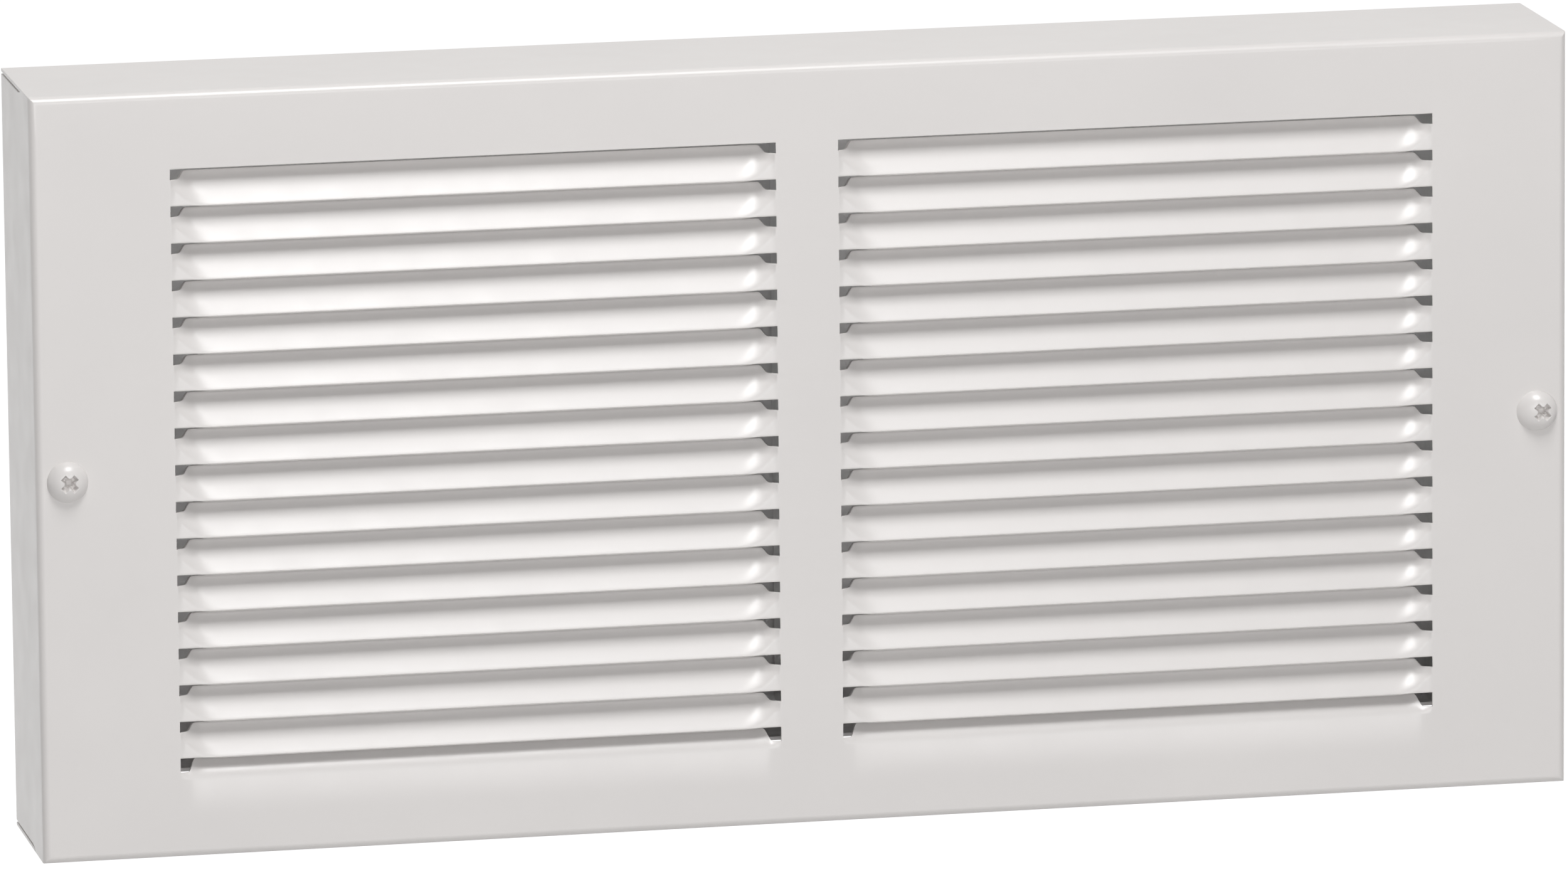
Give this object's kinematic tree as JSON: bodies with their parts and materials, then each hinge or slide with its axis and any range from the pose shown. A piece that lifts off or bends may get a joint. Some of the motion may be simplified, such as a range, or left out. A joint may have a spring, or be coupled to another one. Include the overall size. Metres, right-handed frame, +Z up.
{
  "type": "fan convector heater",
  "caption": "Register-style wall-recessed fan heater: louvred sheet-steel cover over a wall can holding a centrifugal blower, finned element and reset limit.",
  "frame": {"origin": "centre of the wall plane, where the grille's rear rim rests on the wall", "axes": "+Z up, +X to the right of someone facing the heater, +Y into the wall; the louvres face -Y"},
  "size_m": [0.4, 0.1428, 0.198],
  "materials": {
    "white_enamel": "satin powder coat",
    "galvanised": "spangled zinc, semi-matt",
    "zinc_screw": "bright zinc plate",
    "cast_zinc": "as cast, matt",
    "aluminised": "aluminised sheet, semi-matt",
    "blower_steel": "galvanised, slightly dusty",
    "machined_steel": "ground",
    "laminations": "oiled steel laminations",
    "copper_winding": "enamelled wire under varnish",
    "bobbin_nylon": "glass-filled nylon",
    "bronze": "oil-soaked sintered bronze",
    "rubber_black": "matt",
    "element_steel": "heat-tinted stainless sheath",
    "fin_steel": "heat-tinted sheet",
    "ceramic": "unglazed steatite",
    "phenolic": "moulded phenolic",
    "red_plastic": "moulded",
    "tin_blade": "tin plated",
    "lead_black": "high-temperature insulation",
    "lead_white": "glass-braided insulation",
    "lead_red": "high-temperature insulation",
    "nut_orange": "moulded",
    "earth_green": "green passivated"
  },
  "bodies": {
    "heater": {"grille": "white_enamel", "grille_screws": "white_enamel", "can_wrap": "galvanised", "can_ends": "galvanised", "can_ears": "galvanised", "ground_screw": "earth_green", "cable_clamp_body": "cast_zinc", "cable_clamp_bar": "zinc_screw", "cable_clamp_screws": "zinc_screw", "cable_clamp_locknut": "cast_zinc", "deck": "aluminised", "deck_screws": "zinc_screw", "centre_baffle": "aluminised", "baffle_rivets": "cast_zinc", "inlet_ring": "aluminised", "ring_rivets": "cast_zinc", "blower_housing": "galvanised", "blower_back": "galvanised", "housing_screws": "zinc_screw", "motor_stator": "laminations", "coil_bobbin": "bobbin_nylon", "motor_coil": "copper_winding", "motor_bracket_front": "cast_zinc", "motor_bracket_rear": "cast_zinc", "motor_bearings": "bronze", "motor_screws": "zinc_screw", "motor_grommets": "rubber_black", "motor_spacers": "zinc_screw", "motor_nuts": "zinc_screw", "duct_back": "aluminised", "duct_top": "aluminised", "duct_bottom": "aluminised", "duct_rivets": "cast_zinc", "element_sheaths": "element_steel", "element_fins": "fin_steel", "element_insulators": "ceramic", "element_terminals": "machined_steel", "limit_body": "phenolic", "reset_spring": "machined_steel", "limit_terminals": "tin_blade", "limit_screws": "zinc_screw", "cutout_body": "phenolic", "cutout_terminals": "tin_blade", "cutout_screws": "zinc_screw", "lead_line": "lead_black", "lead_return": "lead_white", "limit_link": "lead_red", "limit_to_element": "lead_red", "element_link": "lead_white", "motor_leads": "lead_black", "wire_connectors": "nut_orange"},
    "blower": {"blower_wheel": "blower_steel", "wheel_set_screw": "machined_steel", "motor_shaft": "machined_steel", "motor_rotor": "laminations"},
    "reset": {"reset_button": "red_plastic"}
  },
  "joints": [
    {"name": "blower_spin", "type": "hinge", "parent": "heater", "child": "blower", "pos_m": [0.09, 0.04, -0.007], "axis": [0, 1, 0], "continuous": true},
    {"name": "reset_press", "type": "slide", "parent": "heater", "child": "reset", "axis": [0, 1, 0], "range_m": [0, 0.002], "stiffness_N_per_m": 900, "springref_m": -0.0015, "deforming": ["reset_spring"]}
  ]
}
